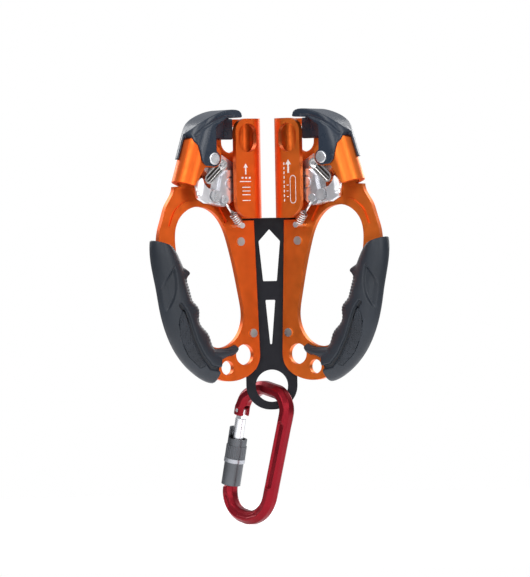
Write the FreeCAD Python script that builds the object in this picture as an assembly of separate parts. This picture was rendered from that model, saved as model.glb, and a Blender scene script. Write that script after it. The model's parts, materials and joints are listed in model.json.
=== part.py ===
"""Twin ascender: two mirrored handled rope clamps joined by a rear plate that carries a carabiner.

Each handled unit is drawn in a frame of its own, for the right-hand unit: x runs outward from the rope's
axis, y towards the back and z up. place() yaws it about the vertical and moves it to its side of the
device, and mirrored() makes the left-hand one. The device's origin lies midway between the two rope axes,
at the height where the cams grip. Millimetres, +Z up, +Y towards the back.
"""

import FreeCAD, Part
import math
import os

V = FreeCAD.Vector

# ---- arrangement -------------------------------------------------------------------------------------
YAW = 33.0  # each unit is turned this far about the vertical, its handle towards the front
ROPE_X = 16.0  # half the distance between the two rope axes

# ---- folded frame ------------------------------------------------------------------------------------
SHEET = 4.0  # thickness of the folded aluminium sheet
CHANNEL_R = 7.0  # inner radius of the fold that the rope runs in
FOLD_R = CHANNEL_R + SHEET
PLATE_Y = CHANNEL_R  # front face of the back plate
BACK_Y = FOLD_R  # its back face
CHANNEL_TOP = 43.0
CHANNEL_FOOT = -26.6
FLANGE_X = 14.4  # outer edge of the front flange
EYE_SIDE = 7.4  # half width of the upper oval holes
EYE_HIGH = 10.0  # their half height
EYE_Z = 29.5
FRONT_EYE_X = 4.3
BACK_EYE_X = 7.6
PALM_TILT = 18.0  # the palm rest's fold leans in this far towards its top
PALM_FOOT = V(48.6, 0, -3.6)  # where that fold's axis starts
PALM_LONG = 40.0
PALM_WAY = V(-math.sin(math.radians(PALM_TILT)), 0, math.cos(math.radians(PALM_TILT)))
POCKET_DEEP = 1.2
CHANNEL_END_X = 17.5  # where the rope channel's part of the sheet ends and the palm rest's and the handle's start
WEB_TOP_Z = -28.0  # the web runs from here down to the foot
HANDLE_TOP_Z = -12.0
FOOT_TOP_Z = -108.0
FOOT_END_X = 22.0
LOWER_HOLE_R = 7.25
LOWER_HOLE = V(-1.5, 0, -122.0)
SMALL_HOLE_R = 5.0
SMALL_HOLE = V(13.0, 0, -131.0)

# ---- cam and what is on it ---------------------------------------------------------------------------
AXLE = V(33.4, 0, 15.0)
AXLE_R = 3.0
AXLE_HEAD_R = 4.25
FIT = 0.05  # radial clearance of a pin in the part that turns on it
CAM_FRONT = -2.6
CAM_BACK = 5.6
CHEEK_FRONT = -5.0
HUB_R = 7.2
FACE_FROM = 187.0  # the toothed face, as angles about the axle
FACE_TO = 233.0
FACE_NEAR = 30.7  # its distance from the axle grows from this
FACE_FAR = 36.5  # to this, so that it wedges against the rope
TOOTH_R = 0.9
TOOTH_LONG = 1.4
CAM_OPEN = 24.0  # how far the cam turns back to let the rope in
LEVER_PRESS = 12.0  # how far the thumb lever turns before it takes the cam with it
LEVER_PIN = V(29.0, 0, -10.8)
LEVER_PIN_R = 2.2
SPRING_PIN = V(21.8, 0, -13.2)
SPRING_PIN_R = 1.6
CATCH_PIN = V(22.9, 0, 11.0)
CATCH_PIN_R = 1.3
CATCH_END = V(33.7, 0, 1.2)
CATCH_HALF = 3.7  # half the height of the folded catch strip
CATCH_WALL = 1.0
MID_FRONT = -6.6  # lever and catch lie between these two levels
MID_BACK = -2.9
SPRING_ANCHOR = V(6.4, 0, -31.6)
SPRING_TOP_Y = -5.9
SPRING_FOOT_Y = -3.0
SPRING_COIL_R = 2.4
SPRING_WIRE_R = 0.55

# ---- palm cover and grip -----------------------------------------------------------------------------
COVER_FRONT = -12.6
COVER_BACK = 12.6
COVER_R = 12.5  # its outside, round the palm rest's fold
LINING_Y = 5.2  # front face of the cover's thin lining over the back plate
COVER_EDGE_Y = 0.7  # on the outside of the fold it stops here, and leaves the front half bare
GRIP_Y = 9.0  # the grip is centred on the plate

# ---- rear plate --------------------------------------------------------------------------------------
REAR_SHEET = 3.0
EYE_R = 11.3
EYE_CENTRE_Z = -144.3
LOBE_HALF = 18.0
LOBE_FOOT = -161.0
RIVETS = (V(0.5, 0, -42.7), V(-8.6, 0, -107.0))
RIVET_R = 2.0

# ---- carabiner, upright: x towards its spine, z up its length ----------------------------------------
HANG = V(0, 17.8, -147.1)  # where the middle of its bar crosses the rear plate's eye
CARABINER_YAW = 47.0
CARABINER_LEAN = 14.0
BAR_WIDE = 5.0  # half the bar in the carabiner's plane
BAR_DEEP = 5.4  # half the bar across it
GATE_X = -27.0
SPINE_X = 18.8
SPINE_FOOT_X = 13.2
TOP_Z = -2.0
FOOT_Z = -95.8
FORK_Z = -21.0
NOSE_ROOT_Z = -78.8
NECK_R = 4.4
GROOVE_DEEP = 1.0
HINGE_Z = -23.5
HINGE_R = 1.3
FORK_GAP = 2.4
GATE_R = 3.7
GATE_END_Z = -70.5
NOSE_Z = -72.4
COLLAR_Z = -46.0
SLEEVE_R = 6.8
SLEEVE_BORE = 5.4
SLEEVE_LOW = -77.6
SLEEVE_TOP = -44.0
SLEEVE_TAB_Z = -36.5
KNURL_LOW = -58.0
KNURL_HIGH = -49.0
KNURL_COUNT = 30
SLOT_TOP = -69.5
SLOT_HALF = 5.0


# ---- drawing helpers ---------------------------------------------------------------------------------
def flat(x, z, y=0.0):
    """A point of a unit's front view."""
    return V(x, y, z)


def rounded(corners, y=0.0):
    """A closed wire in the front view, from (x, z, corner radius) in order."""
    edges = []
    count = len(corners)
    ends = []
    for i, (x, z, r) in enumerate(corners):
        here = flat(x, z, y)
        before = flat(corners[i - 1][0], corners[i - 1][1], y) - here
        after = flat(corners[(i + 1) % count][0], corners[(i + 1) % count][1], y) - here
        before.normalize()
        after.normalize()
        if r == 0:
            ends.append((here, here, None))
            continue
        half = before.getAngle(after) / 2
        run = r / math.tan(half)
        middle = before + after
        middle.normalize()
        centre = here + middle * (r / math.sin(half))
        ends.append((here + before * run, here + after * run, centre - middle * r))
    for i, (start, stop, mid) in enumerate(ends):
        if mid is not None:
            edges.append(Part.Arc(start, mid, stop).toShape())
        following = ends[(i + 1) % count][0]
        if stop.distanceToPoint(following) > 1e-6:
            edges.append(Part.LineSegment(stop, following).toShape())
    return Part.Wire(Part.__sortEdges__(edges))


def curve(points, y=0.0):
    """One smooth open edge through the points (x, z)."""
    line = Part.BSplineCurve()
    line.interpolate([flat(x, z, y) for x, z in points])
    return line.toShape()


def loop(points, y=0.0):
    """One smooth closed wire through the points (x, z)."""
    line = Part.BSplineCurve()
    line.interpolate([flat(x, z, y) for x, z in points], PeriodicFlag=True)
    return Part.Wire([line.toShape()])


def prism(wire, y0, y1):
    """The wire's face, carried from y0 to y1. The wire is drawn at y = 0."""
    face = Part.Face(wire)
    face.translate(V(0, y0, 0))
    return face.extrude(V(0, y1 - y0, 0))


def rod(at, radius, y0, y1):
    """A round bar across the unit, from y0 to y1, through the front view's point."""
    return Part.makeCylinder(radius, y1 - y0, V(at.x, y0, at.z), V(0, 1, 0))


def bar(start, stop, radius):
    """A round bar from one point to another."""
    way = stop - start
    return Part.makeCylinder(radius, way.Length, start, way)


def obround(start, stop, half):
    """A closed wire in the front view: two half circles about start and stop, joined by straight sides."""
    way = stop - start
    way.normalize()
    side = V(-way.z, 0, way.x) * half
    edges = [
        Part.LineSegment(start + side, stop + side).toShape(),
        Part.Arc(stop + side, stop + way * half, stop - side).toShape(),
        Part.LineSegment(stop - side, start - side).toShape(),
        Part.Arc(start - side, start - way * half, start + side).toShape(),
    ]
    return Part.Wire(edges)


def joined(shapes):
    """One solid from several that overlap."""
    return shapes[0].multiFuse(shapes[1:]).removeSplitter()


def place(shape):
    """Moves a shape from the right-hand unit's own frame to the device's."""
    out = shape.copy()
    out.rotate(V(0, 0, 0), V(0, 0, 1), -YAW)
    out.translate(V(ROPE_X, 0, 0))
    return out


def mirrored(shape):
    """The left-hand twin of a right-hand shape."""
    return shape.mirror(V(0, 0, 0), V(1, 0, 0))


# ---- folded frame ------------------------------------------------------------------------------------
def palm_bar(radius, beyond=0.0):
    """A round bar on the axis of the palm rest's fold, longer by beyond at each end."""
    return Part.makeCylinder(radius, PALM_LONG + 2 * beyond, PALM_FOOT - PALM_WAY * beyond, PALM_WAY)


def palm_line(z):
    """The point of that axis at a height, in the front view."""
    return PALM_FOOT.x - (z - PALM_FOOT.z) * math.tan(math.radians(PALM_TILT)), z


def inward_of_palm():
    """Everything on the rope's side of that axis."""
    low_x, low_z = palm_line(-70)
    high_x, high_z = palm_line(90)
    return prism(rounded([(low_x, low_z, 0), (high_x, high_z, 0), (-60, high_z, 0), (-60, low_z, 0)]), -30, 30)


def plate_outline():
    """The back plate, from the rope's fold to the palm rest's fold, the handle and the foot."""
    outer = [
        (54.5, -4.0), (55.4, -8.0), (58.1, -12.6), (60.9, -16.8), (64.0, -25.2), (66.8, -33.6), (68.2, -48.0),
        (64.5, -70.0), (58.5, -92.0), (48.5, -113.0), (34.0, -130.5), (16.0, -140.0), (0.0, -138.6),
        (-10.0, -132.6), (-14.2, -121.0),
    ]
    top = PALM_FOOT + PALM_WAY * PALM_LONG
    edges = [
        Part.LineSegment(flat(0, CHANNEL_TOP), flat(17, CHANNEL_TOP)).toShape(),
        curve([(17, CHANNEL_TOP), (25, 42.2), (31.5, 39.4), (top.x, top.z)]),
        Part.LineSegment(top, PALM_FOOT).toShape(),
        Part.LineSegment(PALM_FOOT, flat(*outer[0])).toShape(),
        curve(outer),
        Part.LineSegment(flat(*outer[-1]), flat(-FOLD_R, CHANNEL_FOOT - 1.4)).toShape(),
        Part.LineSegment(flat(-FOLD_R, CHANNEL_FOOT - 1.4), flat(0, CHANNEL_FOOT - 1.4)).toShape(),
        Part.LineSegment(flat(0, CHANNEL_FOOT - 1.4), flat(0, CHANNEL_TOP)).toShape(),
    ]
    return Part.Wire(edges)


def front_layer():
    """The sheet's free end beyond the palm rest's fold, with a lobe round the cam's axle."""
    top_x, top_z = palm_line(34.0)
    corners = [
        (PALM_FOOT.x, PALM_FOOT.z, 0), (39.8, 9.4, 2.0), (26.8, 8.4, 6.4), (26.6, 21.6, 5.0), (32.0, 25.0, 4.0),
        (32.0, top_z, 0), (top_x, top_z, 0),
    ]
    return prism(rounded(corners), -FOLD_R, -CHANNEL_R)


def hand_opening():
    """The opening that the fingers go through."""
    return loop(
        [
            (35.0, -18.0), (45.5, -21.2), (52.4, -29.0), (54.6, -40.0), (52.6, -56.0), (48.6, -74.0),
            (44.0, -92.0), (36.0, -107.0), (24.0, -116.2), (12.0, -115.4), (3.0, -107.6), (-1.0, -96.0),
            (0.6, -82.0), (4.6, -63.0), (9.6, -44.0), (15.6, -29.6), (24.5, -20.8),
        ]
    )


def pocket():
    """The shallow Y-shaped recess round the top of the hand opening."""
    return rounded(
        [
            (38.5, -5.2, 3.0), (50.0, -5.2, 3.0), (58.4, -17.5, 9.0), (62.0, -31.5, 1.2),
            (58.9, -31.8, 1.2), (54.6, -21.0, 12.0), (46.0, -13.8, 14.0), (30.0, -13.6, 14.0),
            (18.5, -22.0, 10.0), (13.6, -30.4, 1.1), (11.4, -28.4, 1.1), (18.5, -16.0, 8.0),
            (30.0, -8.0, 6.0),
        ]
    )


def frame():
    """The folded sheet: rope channel, palm rest and handle in one piece."""
    z0, z1 = CHANNEL_FOOT, CHANNEL_TOP
    ring = Part.makeCylinder(FOLD_R, z1 - z0, V(0, 0, z0)).cut(
        Part.makeCylinder(CHANNEL_R, z1 - z0, V(0, 0, z0))
    )
    fold = ring.cut(Part.makeBox(30, 60, z1 - z0 + 2, V(0, -30, z0 - 1)))
    flange = prism(
        rounded([(0, z0, 0), (FLANGE_X, z0, 11.5), (FLANGE_X, z1, 9.0), (0, z1, 0)]), -FOLD_R, -CHANNEL_R
    )
    plate = prism(plate_outline(), PLATE_Y, BACK_Y)
    plate = plate.cut(prism(hand_opening(), PLATE_Y - 1, BACK_Y + 1))
    plate = plate.cut(prism(pocket(), PLATE_Y - 1, PLATE_Y + POCKET_DEEP))

    rest = palm_bar(FOLD_R).cut(palm_bar(CHANNEL_R, 1.0)).cut(inward_of_palm())
    above = rounded([(28.0, 41.0, 0), (50.0, 28.2, 0), (64.0, 28.2, 0), (64.0, 70.0, 0), (28.0, 70.0, 0)])
    rest = rest.cut(prism(above, -30, 30))
    solid = joined([plate, fold, flange, rest, front_layer()])
    for x, y0, y1 in ((FRONT_EYE_X, -FOLD_R - 1, -CHANNEL_R + 1), (BACK_EYE_X, PLATE_Y - 1, BACK_Y + 1)):
        low = flat(x, EYE_Z - EYE_HIGH + EYE_SIDE)
        high = flat(x, EYE_Z + EYE_HIGH - EYE_SIDE)
        solid = solid.cut(prism(obround(low, high, EYE_SIDE), y0, y1))
    solid = solid.cut(rod(LOWER_HOLE, LOWER_HOLE_R, PLATE_Y - 1, BACK_Y + 1))
    solid = solid.cut(rod(SMALL_HOLE, SMALL_HOLE_R, PLATE_Y - 1, BACK_Y + 1))
    for hole in RIVETS:
        solid = solid.cut(rod(hole, RIVET_R, PLATE_Y - 1, BACK_Y + 1))
    solid = solid.cut(rod(AXLE, AXLE_R, -FOLD_R - 1, BACK_Y + 1))
    return solid.cut(rod(SPRING_ANCHOR, CATCH_PIN_R, PLATE_Y - 1, BACK_Y + 1))


def sheet_parts(solid):
    """The folded sheet as five solids that meet face to face, each of a simple shape."""
    far = 90.0
    rooms = {
        "channel": (-far, CHANNEL_END_X, WEB_TOP_Z, far),
        "web": (-far, CHANNEL_END_X, FOOT_TOP_Z, WEB_TOP_Z),
        "palm_rest": (CHANNEL_END_X, far, HANDLE_TOP_Z, far),
        "foot": (-far, FOOT_END_X, -2 * far, FOOT_TOP_Z),
    }
    parts = {}
    for name, (x0, x1, z0, z1) in rooms.items():
        room = Part.makeBox(x1 - x0, 60, z1 - z0, V(x0, -30, z0))
        parts[name] = solid.common(room)
        solid = solid.cut(room)
    parts["handle"] = solid
    return parts


# ---- cam group ---------------------------------------------------------------------------------------
def face_point(share):
    """A point of the toothed face, from 0 at its top to 1 at its foot, and its outward direction."""
    angle = math.radians(FACE_FROM + (FACE_TO - FACE_FROM) * share)
    reach = FACE_NEAR + (FACE_FAR - FACE_NEAR) * share ** 1.2
    out = V(math.cos(angle), 0, math.sin(angle))
    return AXLE + out * reach, out


def cam():
    """The toothed cam with its hub and its raised side cheek."""
    steps = 8
    face = [face_point(i / steps)[0] for i in range(steps + 1)]
    top = face[0]
    foot = face[-1]
    edges = [
        curve([(p.x, p.z) for p in face]),
        Part.LineSegment(foot, flat(19.4, -18.4)).toShape(),
        Part.LineSegment(flat(19.4, -18.4), flat(30.4, -15.8)).toShape(),
        Part.Arc(flat(30.4, -15.8), flat(33.8, -11.0), flat(31.0, -6.0)).toShape(),
        curve([(31.0, -6.0), (30.8, 0.0), (34.4, 6.0), (39.2, 12.4)]),
        curve([(39.2, 12.4), (31.6, 21.6), (17.0, 15.5), (top.x, top.z)]),
    ]
    body = prism(Part.Wire(edges), CAM_FRONT, CAM_BACK)
    hub = rod(AXLE, HUB_R, CAM_FRONT, CAM_BACK + 1.0)
    cheek = prism(
        rounded(
            [
                (11.8, 7.0, 2.0), (17.8, 7.2, 2.0), (22.6, 2.6, 5.0), (24.2, -4.6, 6.0), (25.4, -9.0, 2.0),
                (25.4, -17.4, 3.0), (18.4, -17.8, 4.0), (11.8, -12.0, 5.0),
            ]
        ),
        CHEEK_FRONT,
        CAM_FRONT + 0.5,
    )
    solid = joined([body, hub, cheek])
    dish = flat(15.1, -2.1)
    ring = rod(dish, 4.9, CHEEK_FRONT - 1, CHEEK_FRONT + 1.0).cut(rod(dish, 3.7, -8, 0))
    solid = solid.cut(ring)
    across = [-1.4, 1.5, 4.4]
    rows = 9
    teeth = []
    for k, y in enumerate(across):
        for i in range(rows):
            share = (i + 0.3 + 0.4 * (k % 2)) / rows
            at, out = face_point(share)
            lean = V(out.x, 0, out.z - 0.45)
            lean.normalize()
            root = at - lean * 0.5 + V(0, y, 0)
            teeth.append(Part.makeCone(TOOTH_R, 0.12, TOOTH_LONG + 0.5, root, lean))
    solid = solid.multiFuse(teeth)
    solid = solid.cut(rod(AXLE, AXLE_R + FIT, CAM_FRONT - 1, CAM_BACK + 3))
    top, way = spring_line()
    solid = solid.cut(bar(top, top + way * 0.5, SPRING_WIRE_R + 0.25))
    for at, radius in ((LEVER_PIN, LEVER_PIN_R), (SPRING_PIN, SPRING_PIN_R), (CATCH_PIN, CATCH_PIN_R)):
        solid = solid.cut(rod(at, radius, -8, CAM_BACK + 1))
    return solid


def cam_axle():
    """The rivet that the cam turns on, with a broad head in front and a peened one behind."""
    front = COVER_FRONT - 1.1
    head = rod(AXLE, AXLE_HEAD_R, front, COVER_FRONT)
    rim = [e for e in head.Edges if e.BoundBox.YMax < front + 0.1 and e.BoundBox.ZLength > 1]
    head = head.makeFillet(0.7, rim)
    shaft = rod(AXLE, AXLE_R, COVER_FRONT, BACK_Y + 1.6)
    peen = rod(AXLE, AXLE_HEAD_R, BACK_Y, BACK_Y + 1.6)
    return joined([head, shaft, peen])


def axle_bush():
    """The spacer on the axle between the cam and the sheet's front layer."""
    return rod(AXLE, 4.2, -CHANNEL_R + 0.1, CAM_FRONT - 0.3).cut(rod(AXLE, AXLE_R, -12, 0))


def lever_pin():
    head = rod(LEVER_PIN, 3.9, MID_FRONT - 0.8, MID_FRONT)
    return joined([rod(LEVER_PIN, LEVER_PIN_R, MID_FRONT, CAM_BACK), head])


def spring_pin():
    head = rod(SPRING_PIN, 2.9, MID_FRONT - 1.1, MID_FRONT - 0.1)
    return joined([rod(SPRING_PIN, SPRING_PIN_R, MID_FRONT - 0.1, CAM_BACK), head])


def catch_pin():
    return rod(CATCH_PIN, CATCH_PIN_R, MID_FRONT - 0.2, CAM_BACK)


def turned(shape, at, angle):
    """A shape turned anticlockwise in the front view about a point."""
    out = shape.copy()
    out.rotate(at, V(0, -1, 0), angle)
    return out


def lever():
    """The thumb lever: an ear on the cam's pin and a deep block under the thumb."""
    ear = prism(
        rounded(
            [
                (24.6, -16.0, 3.0), (36.0, -16.0, 3.0), (36.5, -4.6, 1.0), (31.0, -6.4, 2.0), (26.2, -7.2, 3.0),
            ]
        ),
        MID_FRONT,
        -5.3,
    )
    block = prism(
        rounded(
            [
                (34.4, -16.0, 1.0), (36.9, -16.0, 3.0), (43.6, -12.3, 2.5), (44.5, -1.3, 2.0), (39.6, 2.6, 1.0),
                (37.6, -2.4, 1.0), (35.0, -4.9, 1.0),
            ]
        ),
        MID_FRONT,
        MID_BACK,
    )
    solid = joined([ear, block])
    solid = solid.cut(rod(LEVER_PIN, LEVER_PIN_R + FIT, -12, 0))
    wall = palm_bar(FOLD_R + 2, 2.0).cut(palm_bar(CHANNEL_R - 0.4, 3.0)).cut(inward_of_palm())
    for pressed in (0.0, LEVER_PRESS):
        swept = turned(turned(wall, AXLE, -CAM_OPEN), LEVER_PIN, pressed)
        solid = solid.cut(swept)
    return solid


def safety_catch():
    """A strip of steel folded into a long loop, turning on a pin at its upper end."""
    outer = prism(obround(CATCH_PIN, CATCH_END, CATCH_HALF), MID_FRONT, MID_BACK)
    inner = prism(obround(CATCH_PIN, CATCH_END, CATCH_HALF - CATCH_WALL), MID_FRONT - 1, MID_BACK - 0.8)
    return outer.cut(inner).cut(rod(CATCH_PIN, CATCH_PIN_R + FIT, -12, 0))


def spring_line():
    """The upper end of the spring's axis, and the way from there to its lower end."""
    top = V(SPRING_PIN.x, SPRING_TOP_Y, SPRING_PIN.z)
    return top, V(SPRING_ANCHOR.x, SPRING_FOOT_Y, SPRING_ANCHOR.z) - top


def cam_spring():
    """The extension spring from the cam to the frame, as a plain bar with a stout middle."""
    top, way = spring_line()
    foot = top + way
    coil_from = top + way * 0.55
    coil_to = top + way * 0.90
    return joined(
        [
            bar(top + way * 0.14, foot - way * 0.07, SPRING_WIRE_R),
            bar(coil_from, coil_to, SPRING_COIL_R),
        ]
    )


def spring_anchor():
    return joined([rod(SPRING_ANCHOR, CATCH_PIN_R, -4.6, BACK_Y), rod(SPRING_ANCHOR, 2.0, -5.4, -4.6)])


# ---- palm cover and grip -----------------------------------------------------------------------------
def palm_cover(frame_solid):
    """The moulded palm cover over the top of the frame, with an arm down to the cam's axle."""
    outer = [
        (9.6, 45.0), (11.0, 47.8), (16.0, 49.2), (24.0, 48.4), (32.0, 45.8), (41.5, 40.8), (48.5, 34.5),
        (53.5, 26.5), (57.0, 15.0),
    ]
    inner = [(57.0, 15.0), (48.0, 15.0), (44.0, 28.0), (38.0, 35.0), (31.0, 37.0), (22.0, 43.4), (9.6, 43.6)]
    edges = [Part.LineSegment(flat(*p), flat(*q)).toShape() for p, q in zip(inner, inner[1:] + outer[:1])]
    shell = prism(Part.Wire([curve(outer)] + edges), COVER_FRONT, COVER_BACK)
    bare = prism(
        rounded(
            [
                (43.0, 8.0, 0), (43.0, 13.2, 0), (44.2, 19.3, 0), (45.2, 24.2, 0), (47.4, 27.2, 0), (48.3, 31.0, 0),
                (50.5, 33.0, 0), (64.0, 33.0, 0), (64.0, 8.0, 0),
            ]
        ),
        COVER_FRONT - 1,
        COVER_EDGE_Y,
    )
    arm = prism(
        rounded(
            [
                (12.0, 43.8, 1.0), (12.0, 47.0, 2.0), (28.0, 47.0, 2.0), (44.0, 39.0, 2.0), (50.5, 33.0, 0.5),
                (48.3, 31.0, 0.5), (47.4, 27.2, 0.5), (45.2, 24.2, 1.0), (44.2, 19.3, 2.0), (43.0, 13.2, 2.0),
                (40.2, 10.2, 2.0), (33.4, 9.6, 0.5), (31.0, 20.0, 2.0), (31.0, 37.0, 4.0), (23.0, 43.8, 3.0),
            ]
        ),
        COVER_FRONT,
        0.0,
    )
    end = rod(AXLE, 5.6, COVER_FRONT, -FOLD_R)
    web = prism(
        rounded([(16.0, 29.5, 1.0), (31.0, 29.5, 1.0), (38.0, 34.0, 1.0), (38.0, 42.0, 1.0), (16.0, 46.0, 1.0)]),
        1.5,
        PLATE_Y,
    )
    lining = prism(
        rounded([(6.2, 28.6, 1.0), (30.0, 28.6, 0), (30.0, 43.8, 0), (9.7, 45.4, 0), (9.7, 43.4, 0), (6.2, 43.4, 0)]),
        LINING_Y,
        PLATE_Y,
    )
    room = prism(rounded([(-20, -40, 0), (70, -40, 0), (70, 33.0, 0), (-20, 33.0, 0)]), -CHANNEL_R, CHANNEL_R)
    room = room.common(joined([palm_bar(CHANNEL_R, 20.0), inward_of_palm()]))
    beside = prism(rounded([(0, 20, 0), (31.0, 20, 0), (31.0, 37.0, 0), (22.0, 43.4, 0), (0, 43.4, 0)]), -9, 1.5)
    solid = joined([shell, arm]).cut(bare).common(joined([palm_bar(COVER_R, 20.0), inward_of_palm()]))
    solid = joined([solid.cut(room).cut(beside), end, web, lining]).cut(frame_solid)
    solid = solid.cut(rod(AXLE, AXLE_R, -20, 0))
    return sorted(solid.Solids, key=lambda s: s.Volume)[-1]


def grip_section(x, z, along, wide, deep):
    """A closed elliptical wire across the grip's path; along is the path's direction in degrees."""
    a = math.radians(along)
    side = V(math.sin(a), 0, -math.cos(a))
    centre = V(x, GRIP_Y, z)
    if wide >= deep:
        shape = Part.Ellipse(centre + side * wide, centre + V(0, deep, 0), centre)
    else:
        shape = Part.Ellipse(centre + V(0, deep, 0), centre + side * wide, centre)
    return Part.Wire([shape.toShape()])


def grip_body():
    """The swelling bar of the grip round the outside of the handle."""
    stations = [
        (65.2, -43.4, 288, 7.7, 8.4), (63.5, -50.0, 266, 9.4, 9.2), (60.6, -60.0, 252, 11.0, 9.7),
        (56.8, -72.0, 253, 12.2, 10.0), (53.8, -84.0, 255, 13.0, 10.2), (50.4, -96.0, 250, 13.4, 10.3),
        (45.6, -107.5, 240, 13.4, 10.3), (38.8, -118.0, 230, 13.0, 10.2), (30.4, -126.2, 212, 12.2, 10.0),
        (22.4, -130.6, 192, 11.2, 9.6),
    ]
    return Part.makeLoft([grip_section(*s) for s in stations], True, False)


def grip(frame_solid):
    """The rubber grip, with the beak over the first finger and the tongue along the opening's foot."""
    beak = Part.makeLoft(
        [
            grip_section(54.0, -62.0, 160, 7.5, 7.6),
            grip_section(48.6, -63.6, 170, 4.2, 6.4),
            grip_section(44.6, -64.6, 176, 1.4, 5.0),
        ],
        True,
        False,
    )
    tongue = Part.makeLoft(
        [
            grip_section(27.0, -121.4, 190, 5.4, 9.0),
            grip_section(16.0, -121.0, 176, 4.4, 8.0),
            grip_section(6.4, -117.4, 160, 3.4, 7.0),
        ],
        True,
        False,
    )
    solid = joined([grip_body(), beak, tongue])
    scallop = rod(SMALL_HOLE, 8.4, -5, 25)
    upper = rod(LOWER_HOLE, 8.8, -5, 25)
    return solid.cut(scallop).cut(upper).cut(frame_solid)


def insert_tool():
    """The outline of the textured panel let into the grip's front."""
    wire = rounded(
        [
            (54.6, -90.0, 1.0), (56.6, -98.0, 16.0), (54.8, -109.4, 16.0), (47.9, -122.3, 16.0), (38.6, -130.6, 1.0),
            (35.0, -129.0, 1.0), (41.2, -121.2, 16.0), (46.6, -110.6, 16.0), (50.6, -96.6, 10.0), (53.0, -91.0, 1.0),
        ]
    )
    return prism(wire, -6.0, 3.2)


# ---- rear plate --------------------------------------------------------------------------------------
def rear_plate(frame_solid):
    """The black plate behind both units: a flat middle, wings on the units' backs, and the lower eye."""
    yaw = math.radians(YAW)
    ahead = V(math.cos(yaw), -math.sin(yaw), 0)
    back = V(math.sin(yaw), math.cos(yaw), 0)
    bend = V(ROPE_X, 0, 0) + ahead * -13.0 + back * BACK_Y
    far = V(ROPE_X, 0, 0) + ahead * 8.0 + back * BACK_Y
    bisector = back + V(0, 1, 0)
    bisector.normalize()
    bend_back = bend + bisector * (REAR_SHEET / math.cos(yaw / 2))
    right = [bend, far, far + back * REAR_SHEET, bend_back]
    left = [V(-p.x, p.y, 0) for p in reversed(right)]
    plan = Part.makePolygon([V(p.x, p.y, -160) for p in right + left + right[:1]])
    sheet = Part.Face(plan).extrude(V(0, 0, 160))

    half = [
        (0.0, -26.3), (23.5, -26.3), (24.0, -47.0), (18.6, -56.0), (18.0, -109.0), (12.6, -113.6),
        (12.0, -126.0), (0.0, -126.0),
    ]
    outline = [flat(x, z) for x, z in half] + [flat(-x, z) for x, z in reversed(half)]
    mask = Part.Face(Part.makePolygon(outline + outline[:1])).extrude(V(0, 40, 0))
    bent = sheet.common(mask)

    lobe = prism(
        rounded(
            [
                (-10.5, -112.0, 0), (10.5, -112.0, 0), (11.5, -127.0, 4.0), (LOBE_HALF, -134.0, 6.0),
                (LOBE_HALF, LOBE_FOOT, LOBE_HALF - 1.0), (-LOBE_HALF, LOBE_FOOT, LOBE_HALF - 1.0),
                (-LOBE_HALF, -134.0, 6.0), (-11.5, -127.0, 4.0),
            ]
        ),
        bend.y,
        bend.y + REAR_SHEET,
    )
    solid = joined([bent, lobe])
    window = rounded([(0, -34.3, 0.5), (7.5, -42.7, 1.0), (4.8, -70.7, 0.6), (-4.8, -70.7, 0.6), (-7.5, -42.7, 1.0)])
    slot = rounded([(3.4, -84.0, 0.6), (0.6, -115.0, 0.4), (-0.6, -115.0, 0.4), (-3.4, -84.0, 0.6)])
    for wire in (window, slot):
        solid = solid.cut(prism(wire, 5, 30))
    solid = solid.cut(Part.makeCylinder(EYE_R, 30, V(0, 5, EYE_CENTRE_Z), V(0, 1, 0)))
    for at in RIVETS:
        hole = place(rod(at, RIVET_R, BACK_Y - 2, BACK_Y + 8))
        solid = solid.cut(hole).cut(mirrored(hole))
    sheet_right = place(frame_solid)
    return solid.cut(sheet_right).cut(mirrored(sheet_right))


def plate_rivets():
    """The two rivets that hold one unit to the rear plate."""
    solids = []
    for at in RIVETS:
        front = rod(at, 3.0, PLATE_Y - 1.2, PLATE_Y)
        tail = rod(at, 3.0, BACK_Y + REAR_SHEET, BACK_Y + REAR_SHEET + 1.2)
        solids.append(joined([front, rod(at, RIVET_R, PLATE_Y, BACK_Y + REAR_SHEET), tail]))
    return Part.makeCompound(solids)


# ---- carabiner ---------------------------------------------------------------------------------------
# It is drawn upright in a frame of its own: x towards the spine, z up its length and y across it.
def hung(shape):
    """Moves a shape from the carabiner's own frame to the rear plate's eye."""
    out = shape.copy()
    out.translate(V(0, 0, -TOP_Z))
    out.rotate(V(0, 0, 0), V(0, 1, 0), CARABINER_LEAN)
    out.rotate(V(0, 0, 0), V(0, 0, 1), -CARABINER_YAW)
    out.translate(HANG)
    return out


def bar_section():
    """The bar's cross section where the gate's fork is, an octagon with short corners."""
    cut = 0.42
    ring = []
    for wide, deep in ((1, cut), (cut, 1), (-cut, 1), (-1, cut), (-1, -cut), (-cut, -1), (cut, -1), (1, -cut)):
        ring.append(V(GATE_X + BAR_WIDE * wide, BAR_DEEP * deep, FORK_Z))
    return Part.makePolygon(ring + ring[:1])


def bar_path():
    """The bar's centre line, from the fork round the top, down the spine and round the foot to the nose."""
    corners = [
        (GATE_X, FORK_Z, 0), (-24.6, -13.0, 12.0), (-10.5, TOP_Z - 0.3, 16.0), (SPINE_X, TOP_Z, 13.0),
        (SPINE_FOOT_X, FOOT_Z, 21.0), (GATE_X, FOOT_Z, 17.0), (GATE_X, NOSE_ROOT_Z, 0),
    ]
    closed = rounded(corners)
    straight = [e for e in closed.OrderedEdges if abs(e.Length - (FORK_Z - NOSE_ROOT_Z)) > 1e-3]
    return Part.Wire(Part.__sortEdges__(straight))


def along_gate(radius, low, high):
    """A round bar on the gate's axis."""
    return Part.makeCylinder(radius, high - low, V(GATE_X, 0, low))


def across_hinge(radius, half):
    """A round bar on the gate hinge's axis."""
    return rod(V(GATE_X, 0, HINGE_Z), radius, -half, half)


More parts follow.
